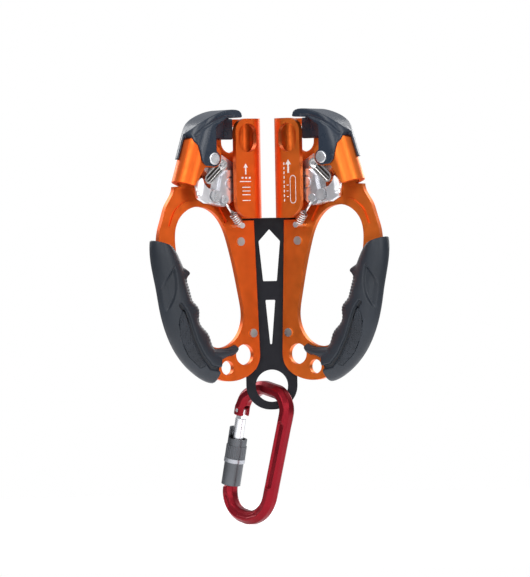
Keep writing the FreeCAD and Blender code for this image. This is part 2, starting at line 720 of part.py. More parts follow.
def block(x0, x1, z0, z1, half):
    """A block the same amount to each side of the carabiner's plane."""
    return Part.makeBox(x1 - x0, 2 * half, z1 - z0, V(x0, -half, z0))


def carabiner_body():
    """The forged bar, with the gate's fork at its upper end and the nose at its lower one."""
    solid = bar_path().makePipeShell([bar_section()], True, True, 1)
    fork = along_gate(BAR_DEEP, HINGE_Z - 3.5, FORK_Z + 0.5)
    neck = along_gate(NECK_R, NOSE_ROOT_Z - 2.0, NOSE_ROOT_Z + 1.4)
    nose = along_gate(GATE_R, NOSE_ROOT_Z, NOSE_Z)
    solid = joined([solid, fork, neck, nose])
    spine_high = flat(SPINE_X - 1.1, -24.0)
    spine_low = flat(SPINE_FOOT_X + 1.6, -67.0)
    channel = prism(obround(spine_high, spine_low, 2.3), BAR_DEEP - GROOVE_DEEP, BAR_DEEP + 2)
    solid = solid.cut(channel).cut(channel.mirror(V(0, 0, 0), V(0, 1, 0)))
    solid = solid.cut(block(GATE_X - 9, GATE_X + 9, HINGE_Z - 5, HINGE_Z + 4.2, FORK_GAP))
    return solid.cut(across_hinge(HINGE_R, 12))


def carabiner_gate():
    """The round gate, with a tongue between the fork's cheeks and a collar that carries the sleeve."""
    stem = along_gate(GATE_R, GATE_END_Z, HINGE_Z - 6.1)
    collar = along_gate(SLEEVE_BORE - FIT, COLLAR_Z - 3.0, COLLAR_Z)
    tongue = block(GATE_X - 2.5, GATE_X + 2.5, HINGE_Z - 7.5, HINGE_Z, FORK_GAP - 0.2)
    eye = across_hinge(2.6, FORK_GAP - 0.2)
    return joined([stem, collar, tongue, eye]).cut(across_hinge(HINGE_R + FIT, 12))


def gate_pin():
    return across_hinge(HINGE_R, BAR_DEEP - 0.3)


def sleeve():
    """The twist-lock sleeve: a knurled barrel, slotted at its foot for the nose, with a thumb tab on top."""
    wall = along_gate(SLEEVE_R, SLEEVE_LOW, SLEEVE_TOP)
    band = along_gate(SLEEVE_R + 0.45, KNURL_LOW, KNURL_HIGH)
    tab = along_gate(SLEEVE_R, SLEEVE_TOP - 1, SLEEVE_TAB_Z)
    tab = tab.common(block(GATE_X - 12, GATE_X - 3.4, SLEEVE_TOP - 1, SLEEVE_TAB_Z, 12))
    solid = joined([wall, band, tab]).cut(along_gate(SLEEVE_BORE, SLEEVE_LOW - 2, SLEEVE_TAB_Z + 2))
    for k in range(KNURL_COUNT):
        angle = 2 * math.pi * k / KNURL_COUNT
        reach = SLEEVE_R + 0.75
        base = V(GATE_X + reach * math.cos(angle), reach * math.sin(angle), KNURL_LOW - 1)
        solid = solid.cut(Part.makeCylinder(0.5, KNURL_HIGH - KNURL_LOW + 2, base))
    return solid.cut(block(GATE_X - 12, GATE_X, SLEEVE_LOW - 2, SLOT_TOP, SLOT_HALF))


def sleeve_ring():
    """The plain ring pressed on below the knurled band."""
    ring = along_gate(SLEEVE_R + 0.6, KNURL_LOW - 3.2, KNURL_LOW - 0.4)
    return ring.cut(along_gate(SLEEVE_R, SLEEVE_LOW, SLEEVE_TOP))


def sleeve_spring():
    """The sleeve's return spring, as a plain tube round the gate's stem."""
    low = SLOT_TOP + 1.0
    high = COLLAR_Z - 3.2
    return along_gate(SLEEVE_BORE - 0.25, low, high).cut(along_gate(GATE_R + 0.2, low - 1, high + 1))


# ---- write everything --------------------------------------------------------------------------------
def main():
    os.makedirs("parts", exist_ok=True)
    frame_solid = frame()
    cover_solid = palm_cover(frame_solid)
    grip_solid = grip(frame_solid)
    tool = insert_tool()
    unit = {
        **sheet_parts(frame_solid),
        "palm_cover": cover_solid,
        "grip": grip_solid.cut(tool),
        "grip_insert": grip_solid.common(tool),
        "cam_axle": cam_axle(),
        "axle_bush": axle_bush(),
        "cam": cam(),
        "lever_pin": lever_pin(),
        "spring_pin": spring_pin(),
        "catch_pin": catch_pin(),
        "lever": lever(),
        "safety_catch": safety_catch(),
        "cam_spring": cam_spring(),
        "spring_anchor": spring_anchor(),
        "plate_rivets": plate_rivets(),
    }
    nodes = {}
    for name, shape in unit.items():
        right = place(shape)
        nodes[name + "_right"] = right
        nodes[name + "_left"] = mirrored(right)
    nodes["rear_plate"] = rear_plate(frame_solid)
    carabiner = {
        "carabiner_body": carabiner_body(),
        "carabiner_gate": carabiner_gate(),
        "gate_pin": gate_pin(),
        "sleeve": sleeve(),
        "sleeve_ring": sleeve_ring(),
        "sleeve_spring": sleeve_spring(),
    }
    for name, shape in carabiner.items():
        nodes[name] = hung(shape)
    for name, shape in nodes.items():
        good = shape.isValid()
        print(f"{name:24s} solids {len(shape.Solids)} volume {shape.Volume:10.1f} valid {good}")
        shape.exportStep(f"parts/{name}.step")


main()
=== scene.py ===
"""Looks for the twin ascender: softened mouldings, coiled springs, printed marks, materials, light and camera.

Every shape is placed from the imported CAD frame. Each handled unit has a frame of its own, as in the CAD: x runs
outward from the rope's axis, y towards the back and z up, for the right-hand unit; the left-hand one mirrors it.
Lengths are in metres, and MM turns a number of millimetres into metres.
"""

import json
import math

import bmesh
import bpy
import numpy as np
from mathutils import Euler, Matrix, Vector


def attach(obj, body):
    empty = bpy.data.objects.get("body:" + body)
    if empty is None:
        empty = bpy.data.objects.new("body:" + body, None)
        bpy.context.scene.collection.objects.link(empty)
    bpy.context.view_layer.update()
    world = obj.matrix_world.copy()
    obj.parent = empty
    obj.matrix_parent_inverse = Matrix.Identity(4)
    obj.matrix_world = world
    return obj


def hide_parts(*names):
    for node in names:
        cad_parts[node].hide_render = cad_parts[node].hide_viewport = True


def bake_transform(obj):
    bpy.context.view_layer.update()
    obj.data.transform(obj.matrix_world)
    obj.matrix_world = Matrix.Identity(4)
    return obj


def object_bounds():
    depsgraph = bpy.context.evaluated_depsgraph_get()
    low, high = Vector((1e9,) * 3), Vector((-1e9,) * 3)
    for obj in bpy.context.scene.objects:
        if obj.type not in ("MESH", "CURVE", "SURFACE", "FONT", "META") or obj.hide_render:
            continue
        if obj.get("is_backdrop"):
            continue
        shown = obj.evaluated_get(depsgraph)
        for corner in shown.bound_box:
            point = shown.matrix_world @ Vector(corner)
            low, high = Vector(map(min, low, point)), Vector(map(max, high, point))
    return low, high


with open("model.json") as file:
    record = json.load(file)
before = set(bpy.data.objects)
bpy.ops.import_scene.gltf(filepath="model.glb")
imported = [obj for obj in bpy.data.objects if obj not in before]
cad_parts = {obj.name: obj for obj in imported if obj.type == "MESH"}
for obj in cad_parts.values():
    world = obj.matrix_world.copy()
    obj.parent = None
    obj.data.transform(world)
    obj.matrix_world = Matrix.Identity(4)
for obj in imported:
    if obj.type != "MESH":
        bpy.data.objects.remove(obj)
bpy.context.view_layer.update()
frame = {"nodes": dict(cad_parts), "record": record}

MM = 0.001
SIDES = {"right": 1, "left": -1}

# ---- arrangement, as in the CAD ------------------------------------------------------------------------
YAW = math.radians(33.0)  # each unit is turned this far about the vertical
ROPE_X = 16.0  # half the distance between the rope axes
FOLD_R = 11.0  # outer radius of the sheet's folds
SPRING_PIN = (21.8, -13.2)
SPRING_ANCHOR = (6.4, -31.6)
SPRING_TOP_Y = -5.9
SPRING_FOOT_Y = -3.0
CATCH_PIN = (22.9, 11.0)
CATCH_END = (33.7, 1.2)
CATCH_FRONT = -6.6
CATCH_BACK = -2.9
HANG = (0.0, 17.8, -147.1)  # where the carabiner's bar crosses the rear plate's eye
CARABINER_YAW = math.radians(47.0)
CARABINER_LEAN = math.radians(14.0)
CARABINER_TOP = -2.0
GATE_X = -27.0

# ---- camera --------------------------------------------------------------------------------------------
VIEW_X = -3.6  # the point that the camera looks at
VIEW_Z = -75.9
VIEW_HEIGHT = 403.9  # height of the picture at the object
VIEW_ROLL = math.radians(-1.06)
LENS = 400.0
SENSOR = 36.0

# ---- light ---------------------------------------------------------------------------------------------
FLOOR_R = 0.75  # the floor has faded out here
FLOOR_GLOW = 0.45
ROOM_STRENGTH = 1.0
ROOM_TONES = [
    (0.0, (0.34, 0.34, 0.35)),
    (0.35, (0.15, 0.15, 0.16)),
    (0.47, (0.17, 0.17, 0.18)),
    (0.58, (0.34, 0.35, 0.37)),
    (0.75, (0.55, 0.57, 0.61)),
    (1.0, (0.80, 0.82, 0.85)),
]
LAMPS = [
    ("key", (-0.80, -1.15, 0.70), 9.0, 0.7, 1.0),
    ("fill", (0.95, -1.1, 0.30), 7.0, 0.6, 1.0),
    ("front", (0.05, -1.8, 0.05), 5.5, 0.6, 1.2),
    ("rim", (-0.9, 0.9, 0.6), 7.0, 0.6, 0.8),
    ("back", (0.8, 1.1, 0.4), 7.0, 0.6, 0.8),
]


# ---- places --------------------------------------------------------------------------------------------
def unit(x, y, z, side):
    """A unit's own point (mm) in the row frame (m)."""
    across = ROPE_X + math.cos(YAW) * x + math.sin(YAW) * y
    deep = -math.sin(YAW) * x + math.cos(YAW) * y
    return Vector((SIDES[side] * across, deep, z)) * MM


def to_unit(co, side):
    """Row-frame points (m, one per row) in the unit's own frame (mm)."""
    across = co[:, 0] / MM * SIDES[side] - ROPE_X
    deep = co[:, 1] / MM
    x = math.cos(YAW) * across - math.sin(YAW) * deep
    y = math.sin(YAW) * across + math.cos(YAW) * deep
    return np.stack([x, y, co[:, 2] / MM], 1)


def hung(x, y, z):
    """A point of the carabiner's own frame (mm) in the row frame (m)."""
    lean = Matrix.Rotation(CARABINER_LEAN, 3, "Y")
    yaw = Matrix.Rotation(-CARABINER_YAW, 3, "Z")
    return (yaw @ (lean @ Vector((x, y, z - CARABINER_TOP))) + Vector(HANG)) * MM


def to_hung(co):
    """Row-frame points (m, one per row) in the carabiner's own frame (mm)."""
    turn = Matrix.Rotation(-CARABINER_YAW, 3, "Z") @ Matrix.Rotation(CARABINER_LEAN, 3, "Y")
    local = (co / MM - np.array(HANG)) @ np.array(turn)
    return local + np.array([0.0, 0.0, CARABINER_TOP])


# ---- shader helpers ------------------------------------------------------------------------------------
def new_material(name):
    """An empty material, with its node tree and its surface shader."""
    mat = bpy.data.materials.new(name)
    mat.use_nodes = True
    tree = mat.node_tree
    return mat, tree, tree.nodes["Principled BSDF"]


def noise(tree, scale, detail=3.0):
    """A noise texture on the object's own coordinates."""
    place = tree.nodes.new("ShaderNodeTexCoord")
    node = tree.nodes.new("ShaderNodeTexNoise")
    node.inputs["Scale"].default_value = scale
    node.inputs["Detail"].default_value = detail
    node.inputs["Roughness"].default_value = 0.55
    tree.links.new(place.outputs["Object"], node.inputs["Vector"])
    return node.outputs["Fac"]


def ramp(tree, source, stops):
    """A colour ramp from (position, colour) stops."""
    node = tree.nodes.new("ShaderNodeValToRGB")
    node.color_ramp.elements[0].position = stops[0][0]
    node.color_ramp.elements[0].color = (*stops[0][1], 1)
    node.color_ramp.elements[1].position = stops[-1][0]
    node.color_ramp.elements[1].color = (*stops[-1][1], 1)
    for position, colour in stops[1:-1]:
        element = node.color_ramp.elements.new(position)
        element.color = (*colour, 1)
    tree.links.new(source, node.inputs["Fac"])
    return node.outputs["Color"]


def spread(tree, source, low, high):
    """A source of 0 to 1 mapped to low to high."""
    node = tree.nodes.new("ShaderNodeMapRange")
    node.inputs["From Min"].default_value = 0.3
    node.inputs["From Max"].default_value = 0.7
    node.inputs["To Min"].default_value = low
    node.inputs["To Max"].default_value = high
    tree.links.new(source, node.inputs["Value"])
    return node.outputs["Result"]


def bump(tree, shader, height, distance):
    """Raises the surface by up to the distance (m) where the height is 1."""
    node = tree.nodes.new("ShaderNodeBump")
    node.inputs["Distance"].default_value = distance
    node.inputs["Strength"].default_value = 1.0
    tree.links.new(height, node.inputs["Height"])
    tree.links.new(node.outputs["Normal"], shader.inputs["Normal"])


def shade(colour, k):
    """The colour made k times as light."""
    return tuple(min(1.0, c * k) for c in colour)


def metal(name, colour, rough=(0.2, 0.32), grain=2200.0, grain_deep=0.000004, metallic=1.0, edge_wear_and_highlight=0.0, gloss=0.5):
    """A metal finish: cloudy roughness, fine grain, a slight change of tone and, if asked, lighter edges that are
    partly edge wear and partly a painted highlight.
    """
    mat, tree, shader = new_material(name)
    shader.inputs["Metallic"].default_value = metallic
    shader.inputs["Specular IOR Level"].default_value = gloss
    cloud = noise(tree, 55.0)
    tone = ramp(tree, cloud, [(0.3, shade(colour, 0.9)), (0.7, shade(colour, 1.08))])
    # lighter colour on the pointy edges: partly edge wear, partly a painted highlight
    if edge_wear_and_highlight:
        point = tree.nodes.new("ShaderNodeNewGeometry").outputs["Pointiness"]
        edge = tree.nodes.new("ShaderNodeMapRange")
        edge.inputs["From Min"].default_value = 0.53
        edge.inputs["From Max"].default_value = 0.60
        edge.inputs["To Max"].default_value = edge_wear_and_highlight
        tree.links.new(point, edge.inputs["Value"])
        mix = tree.nodes.new("ShaderNodeMix")
        mix.data_type = "RGBA"
        tree.links.new(edge.outputs["Result"], mix.inputs["Factor"])
        tree.links.new(tone, mix.inputs["A"])
        mix.inputs["B"].default_value = (*shade(colour, 1.9), 1)
        tone = mix.outputs["Result"]
    tree.links.new(tone, shader.inputs["Base Color"])
    tree.links.new(spread(tree, noise(tree, 180.0), *rough), shader.inputs["Roughness"])
    bump(tree, shader, noise(tree, grain, 2.0), grain_deep)
    return mat


def moulding(name, colour, rough=(0.42, 0.56), grain=1500.0, grain_deep=0.00003):
    """Moulded rubber or plastic: matt, with a fine spark-eroded grain and faint cloudy wear."""
    mat, tree, shader = new_material(name)
    tone = ramp(tree, noise(tree, 40.0), [(0.3, shade(colour, 0.85)), (0.7, shade(colour, 1.15))])
    tree.links.new(tone, shader.inputs["Base Color"])
    tree.links.new(spread(tree, noise(tree, 120.0), *rough), shader.inputs["Roughness"])
    shader.inputs["Specular IOR Level"].default_value = 0.5
    bump(tree, shader, noise(tree, grain, 4.0), grain_deep)
    return mat


def studded(name, colour):
    """The insert's surface: rows of small raised studs over matt rubber."""
    mat, tree, shader = new_material(name)
    tone = ramp(tree, noise(tree, 60.0), [(0.3, shade(colour, 0.8)), (0.7, shade(colour, 1.3))])
    tree.links.new(tone, shader.inputs["Base Color"])
    shader.inputs["Roughness"].default_value = 0.62
    place = tree.nodes.new("ShaderNodeTexCoord")
    cells = tree.nodes.new("ShaderNodeTexVoronoi")
    cells.inputs["Scale"].default_value = 620.0
    cells.inputs["Randomness"].default_value = 0.25
    tree.links.new(place.outputs["Object"], cells.inputs["Vector"])
    dome = tree.nodes.new("ShaderNodeMapRange")
    dome.inputs["From Min"].default_value = 0.45
    dome.inputs["From Max"].default_value = 0.1
    tree.links.new(cells.outputs["Distance"], dome.inputs["Value"])
    bump(tree, shader, dome.outputs["Result"], 0.0004)
    return mat


def plain_print(name):
    """White screen print, a little uneven."""
    mat, tree, shader = new_material(name)
    tone = ramp(tree, noise(tree, 900.0), [(0.3, (0.62, 0.55, 0.50)), (0.6, (0.86, 0.84, 0.82))])
    tree.links.new(tone, shader.inputs["Base Color"])
    shader.inputs["Roughness"].default_value = 0.5
    return mat


# ---- materials -----------------------------------------------------------------------------------------
LEFT_ORANGE = (0.78, 0.125, 0.016)
RIGHT_ORANGE = (0.84, 0.175, 0.024)
ANODISED_ROUGH = (0.34, 0.44)
CAST = {"grain": 700.0, "grain_deep": 0.00001}
MATERIALS = {
    "anodised_left": metal("anodised_left", LEFT_ORANGE, rough=ANODISED_ROUGH, metallic=0.9),
    "anodised_right": metal("anodised_right", RIGHT_ORANGE, rough=ANODISED_ROUGH, metallic=0.9),
    "cover": moulding("cover", (0.017, 0.026, 0.042), rough=(0.24, 0.34), grain=900.0, grain_deep=0.000008),
    "grip": moulding("grip", (0.011, 0.016, 0.024), rough=(0.42, 0.54)),
    # near-black rubber for the grip's groove: painted shade in the groove
    "grip_groove_shade": moulding("grip_groove_shade", (0.004, 0.005, 0.008), rough=(0.55, 0.65)),
    "grip_insert": studded("grip_insert", (0.009, 0.013, 0.020)),
    "bright_steel": metal("bright_steel", (0.90, 0.91, 0.93), rough=(0.24, 0.36)),
    "cam_steel": metal("cam_steel", (0.74, 0.74, 0.77), rough=(0.24, 0.40), **CAST),
    "lever_steel": metal("lever_steel", (0.88, 0.88, 0.90), rough=(0.30, 0.42), **CAST),
    "strip_steel": metal("strip_steel", (0.82, 0.81, 0.80), rough=(0.22, 0.32)),
    # near-black steel for the sheet in the catch's loop: painted shade
    "painted_shade_steel": metal("painted_shade_steel", (0.05, 0.045, 0.042), rough=(0.3, 0.45)),
    "spring_steel": metal("spring_steel", (0.80, 0.79, 0.78), rough=(0.22, 0.32)),
    "rivet_steel": metal("rivet_steel", (0.62, 0.61, 0.60), rough=(0.25, 0.38)),
    "rear_plate": metal("rear_plate", (0.004, 0.004, 0.008), rough=(0.36, 0.5), metallic=0.0, gloss=0.2),
    # the carabiner's lighter edges: partly edge wear, partly a painted highlight
    "carabiner": metal("carabiner", (0.24, 0.007, 0.015), rough=(0.26, 0.38), metallic=0.85, edge_wear_and_highlight=0.2),
    "gate": metal("gate", (0.88, 0.89, 0.91), rough=(0.22, 0.34)),
    "sleeve": metal("sleeve", (0.12, 0.125, 0.135), rough=(0.30, 0.42)),
    "sleeve_ring": metal("sleeve_ring", (0.42, 0.43, 0.46), rough=(0.22, 0.32)),
    "print": plain_print("print"),
}


# ---- mesh helpers --------------------------------------------------------------------------------------
def link(name, mesh, material):
    """An object of the mesh, in the scene and with its material."""
    obj = bpy.data.objects.new(name, mesh)
    bpy.context.scene.collection.objects.link(obj)
    obj.data.materials.clear()
    obj.data.materials.append(MATERIALS[material])
    return obj


def smooth(obj):
    """Shades the object smoothly."""
    obj.data.shade_smooth()
    return obj


def bake(obj):
    """Applies the object's modifiers."""
    graph = bpy.context.evaluated_depsgraph_get()
    mesh = bpy.data.meshes.new_from_object(obj.evaluated_get(graph))
    obj.modifiers.clear()
    obj.data = mesh


def points(obj):
    """The mesh's vertices, one per row, in metres."""
    co = np.zeros(len(obj.data.vertices) * 3, np.float64)
    obj.data.vertices.foreach_get("co", co)
    return co.reshape(-1, 3)


def normals(obj):
    """The mesh's vertex normals, one per row."""
    n = np.zeros(len(obj.data.vertices) * 3, np.float64)
    obj.data.vertices.foreach_get("normal", n)
    return n.reshape(-1, 3)


def put_points(obj, co):
    """Moves the mesh's vertices to the given rows."""
    obj.data.vertices.foreach_set("co", co.astype(np.float32).ravel())
    obj.data.update()


def softened(name, node, material, cell, rounds):
    """A CAD node as a closed mesh, remeshed in cells (mm) and relaxed, so that its edges are rounded."""
    work = bmesh.new()
    work.from_mesh(frame["nodes"][node].data)
    bmesh.ops.remove_doubles(work, verts=work.verts, dist=0.000002)
    mesh = bpy.data.meshes.new(name)
    work.to_mesh(mesh)
    work.free()
    obj = link(name, mesh, material)
    remesh = obj.modifiers.new("remesh", "REMESH")
    remesh.mode = "VOXEL"
    remesh.voxel_size = cell * MM
    relax = obj.modifiers.new("relax", "SMOOTH")
    relax.factor = 0.5
    relax.iterations = rounds
    bake(obj)
    obj.data.materials.clear()
    obj.data.materials.append(MATERIALS[material])
    return smooth(obj)


def placed(obj, body, material, *nodes):
    """Rides a finished piece on its body and hides the CAD nodes that it stands for."""
    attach(obj, body)
    if nodes:
        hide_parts(*nodes)
    return obj


def wire(name, route, radius, material, sides):
    """A round wire along the points of a route, as a closed mesh."""
    route = [Vector(p) for p in route]
    work = bmesh.new()
    rings = []
    tangent = (route[1] - route[0]).normalized()
    across = tangent.orthogonal().normalized()
    for i, at in enumerate(route):
        ahead = route[min(i + 1, len(route) - 1)] - route[max(i - 1, 0)]
        tangent = ahead.normalized()
        across = (across - tangent * across.dot(tangent)).normalized()
        up = tangent.cross(across)
        ring = []
        for k in range(sides):
            a = 2 * math.pi * k / sides
            ring.append(work.verts.new(at + (across * math.cos(a) + up * math.sin(a)) * radius))
        rings.append(ring)
    for low, high in zip(rings, rings[1:]):
        for k in range(sides):
            work.faces.new((low[k], low[(k + 1) % sides], high[(k + 1) % sides], high[k]))
    work.faces.new(list(reversed(rings[0])))
    work.faces.new(rings[-1])
    bmesh.ops.recalc_face_normals(work, faces=work.faces)
    mesh = bpy.data.meshes.new(name)
    work.to_mesh(mesh)
    work.free()
    return smooth(link(name, mesh, material))


def slab(name, outline, thick, material):
    """A flat plate: outline is a list of row-frame points, thick the vector from its face to its back."""
    work = bmesh.new()
    front = [work.verts.new(p) for p in outline]
    back = [work.verts.new(p + thick) for p in outline]
    count = len(outline)
    work.faces.new(front)
    work.faces.new(list(reversed(back)))
    for k in range(count):
        work.faces.new((front[k], back[k], back[(k + 1) % count], front[(k + 1) % count]))
    bmesh.ops.recalc_face_normals(work, faces=work.faces)
    mesh = bpy.data.meshes.new(name)
    work.to_mesh(mesh)
    work.free()
    return link(name, mesh, material)


def merged(name, parts, material):
    """One object from several."""
    work = bmesh.new()
    for part in parts:
        work.from_mesh(part.data)
        bpy.data.objects.remove(part)
    mesh = bpy.data.meshes.new(name)
    work.to_mesh(mesh)
    work.free()
    return link(name, mesh, material)


def facings(n, side):
    """Row-frame normals, one per row, as directions in the unit's own frame."""
    return to_unit(n * MM + np.array(unit(0, 0, 0, side)), side)


def step(x, y, z, side):
    """A step of (x, y, z) millimetres in the unit's own frame, in the row frame."""
    return unit(x, y, z, side) - unit(0, 0, 0, side)


def eased(value):
    """0 below 0, 1 above 1 and a smooth step between."""
    t = np.clip(value, 0.0, 1.0)
    return t * t * (3 - 2 * t)


def away_from(local, route):
    """Distance in the front view (mm) from each point to a route of (x, z) points."""
    best = np.full(len(local), 1e9)
    flat = local[:, [0, 2]]
    for (x0, z0), (x1, z1) in zip(route, route[1:]):
        start = np.array([x0, z0])
        way = np.array([x1 - x0, z1 - z0])
        share = np.clip(((flat - start) @ way) / (way @ way), 0, 1)
        gap = flat - (start + share[:, None] * way)
        best = np.minimum(best, np.hypot(gap[:, 0], gap[:, 1]))
    return best


# ---- grips ---------------------------------------------------------------------------------------------
GRIP_FRONT_Y = 6.0  # the relief on the grip's front lies forward of this
GROOVE = [
    (55.1, -86.6), (50.6, -92.4), (47.4, -101.0), (44.0, -111.0), (37.7, -122.6), (30.5, -130.6), (20.8, -132.2),
]
GROOVE_DEEP = 1.8
GROOVE_HALF = 1.0
THUMB_REST = (63.8, -77.5)  # middle of the long hollow on the grip's front
THUMB_REST_DEEP = 2.2
THUMB_REST_LONG = 19.0  # half its length
THUMB_REST_WIDE = 5.6  # half its width
THUMB_REST_LEAN = math.radians(12.0)
OPENING_MIDDLE = (28.0, -68.0)
FINGERS_TOP_Z = -66.0
FINGERS_FOOT_Z = -122.0
FINGER_PITCH = 17.5
FINGER_TOP = -90.4  # height of the upper swelling between two fingers
FINGER_SWELL = 2.9
SERRATION = 2.1
SERRATION_DEEP = 0.4
BEAK = (48.5, -64.5)  # tip of the hook above the upper finger
BEAK_R = 4.5  # how far round the tip the pull reaches
BEAK_PULL = 2.4


def finger_side(local, outward):
    """1 where the grip faces the middle of the hand opening, and 0 elsewhere."""
    way = np.array(OPENING_MIDDLE) - local[:, [0, 2]]
    way /= np.linalg.norm(way, axis=1)[:, None]
    facing = np.sum(way * outward[:, [0, 2]], 1)
    below_top = eased((FINGERS_TOP_Z - local[:, 2]) / 5.0)
    above_foot = eased((local[:, 2] - FINGERS_FOOT_Z) / 5.0)
    return eased((facing - 0.25) / 0.45) * below_top * above_foot


def grip_relief(local, outward):
    """How far each of a grip's points sinks along its normal, in millimetres."""
    x, y, z = local.T
    front = eased((GRIP_FRONT_Y - y) / 4.0)
    sink = GROOVE_DEEP * front * eased(2.0 - away_from(local, GROOVE) / GROOVE_HALF)
    right, up = x - THUMB_REST[0], z - THUMB_REST[1]
    along = up * math.cos(THUMB_REST_LEAN) - right * math.sin(THUMB_REST_LEAN)
    over = right * math.cos(THUMB_REST_LEAN) + up * math.sin(THUMB_REST_LEAN)
    half = THUMB_REST_WIDE * np.clip(1 - (along / THUMB_REST_LONG) ** 2, 0, 1)
    sink += THUMB_REST_DEEP * front * eased((half - np.abs(over)) / 2.2)
    inner = finger_side(local, outward)
    turn = 2 * math.pi * np.clip((z - FINGER_TOP) / FINGER_PITCH, -1.5, 0.5)
    swell = 0.5 + 0.5 * np.cos(turn)
    sink += inner * (0.6 - FINGER_SWELL * swell)
    sink += SERRATION_DEEP * inner * (0.5 - 0.5 * np.cos(2 * math.pi * z / SERRATION))
    return sink


def grips():
    """The grips' mouldings with their relief, and the textured panels let into them."""
    for side in SIDES:
        node = f"grip_{side}"
        obj = softened(f"moulded_{node}", node, "grip", cell=0.52, rounds=3)
        co = points(obj)
        n = normals(obj)
        local = to_unit(co, side)
        outward = facings(n, side)
        inward = np.array(step(-1, 0, 0, side))
        pull = BEAK_PULL * eased(1 - np.hypot(local[:, 0] - BEAK[0], local[:, 2] - BEAK[1]) / BEAK_R)
        sunk = co - n * (grip_relief(local, outward) * MM)[:, None]
        put_points(obj, sunk + inward * pull[:, None])
        # the groove's faces get the near-black rubber: painted shade in the groove
        obj.data.materials.append(MATERIALS["grip_groove_shade"])
        near = (away_from(local, GROOVE) < GROOVE_HALF) & (local[:, 1] < GRIP_FRONT_Y)
        for face in obj.data.polygons:
            if all(near[v] for v in face.vertices):
                face.material_index = 1
        placed(obj, "frame", "grip", node)
        panel = f"grip_insert_{side}"
        moulded = softened(f"moulded_{panel}", panel, "grip_insert", cell=0.4, rounds=3)
        placed(moulded, "frame", "grip_insert", panel)


# ---- palm covers ---------------------------------------------------------------------------------------
COVER_CREASE = [(17.0, 44.4), (25.0, 43.8), (33.0, 41.0), (40.5, 36.6), (46.0, 31.4)]
CREASE_DEEP = 0.7
CREASE_HALF = 0.9


def palm_covers():
    """The covers' glossy mouldings, with a crease that follows the top edge."""
    for side in SIDES:
        node = f"palm_cover_{side}"
        obj = softened(f"moulded_{node}", node, "cover", cell=0.5, rounds=6)
        co = points(obj)
        n = normals(obj)
        local = to_unit(co, side)
        outward = facings(n, side)
        facing = eased((-outward[:, 1] - 0.1) / 0.3)
        sink = CREASE_DEEP * facing * eased(1.5 - away_from(local, COVER_CREASE) / CREASE_HALF)
        put_points(obj, co - n * (sink * MM)[:, None])
        placed(obj, "frame", "cover", node)


# ---- springs -------------------------------------------------------------------------------------------
def coil(start, stop, radius, turns, per_turn=18):
    """Points of a helix about the line from start to stop."""
    way = stop - start
    axis = way.normalized()
    across = axis.orthogonal().normalized()
    up = axis.cross(across)
    count = int(turns * per_turn)
    route = []
    for i in range(count + 1):
        share = i / count
        a = 2 * math.pi * turns * share
        route.append(start + way * share + (across * math.cos(a) + up * math.sin(a)) * radius)
    return route


LINK_HALF = 1.2
LINK_THICK = 0.6
CAM_COIL_R = 2.7
CAM_COIL_TURNS = 5
CAM_WIRE_R = 0.5
SLEEVE_COIL_LOW = -67.5
SLEEVE_COIL_TOP = -49.8
SLEEVE_COIL_R = 4.5
SLEEVE_COIL_TURNS = 9
SLEEVE_WIRE_R = 0.4
WIRE_SIDES = 8


def cam_springs():
    """Each cam's spring: a flat link from the cam's pin, and a stout coil hooked on the frame's anchor."""
    for side in SIDES:
        top = unit(SPRING_PIN[0], SPRING_TOP_Y, SPRING_PIN[1], side)
        foot = unit(SPRING_ANCHOR[0], SPRING_FOOT_Y, SPRING_ANCHOR[1], side)
        way = foot - top
        depth = step(0, 1, 0, side).normalized()
        over = way.cross(depth).normalized() * LINK_HALF * MM
        start = top + way * 0.06
        end = top + way * 0.58
        corners = [start - over, end - over, end + over, start + over]
        link_strip = slab(f"link_{side}", corners, depth * LINK_THICK * MM, "spring_steel")
        turns = coil(top + way * 0.56, top + way * 0.9, CAM_COIL_R * MM, CAM_COIL_TURNS)
        hook = [top + way * 0.93, top + way * 0.98]
        spring = wire(f"coil_{side}", turns + hook, CAM_WIRE_R * MM, "spring_steel", WIRE_SIDES)
        obj = smooth(merged(f"cam_spring_wire_{side}", [link_strip, spring], "spring_steel"))
        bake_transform(obj)
        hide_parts(f"cam_spring_{side}")


def sleeve_coil():
    """The sleeve's return spring, coiled round the gate's stem."""
    low = hung(GATE_X, 0, SLEEVE_COIL_LOW)
    high = hung(GATE_X, 0, SLEEVE_COIL_TOP)
    turns = coil(low, high, SLEEVE_COIL_R * MM, SLEEVE_COIL_TURNS)
    obj = wire("sleeve_spring_wire", turns, SLEEVE_WIRE_R * MM, "spring_steel", WIRE_SIDES)
    placed(obj, "gate", "spring_steel", "sleeve_spring")


# ---- safety catch --------------------------------------------------------------------------------------
CATCH_SHADE_HALF = 2.45
CATCH_SHADE_THICK = 0.2
CATCH_RIB_HALF = 0.4
CATCH_RIB_THICK = 0.5


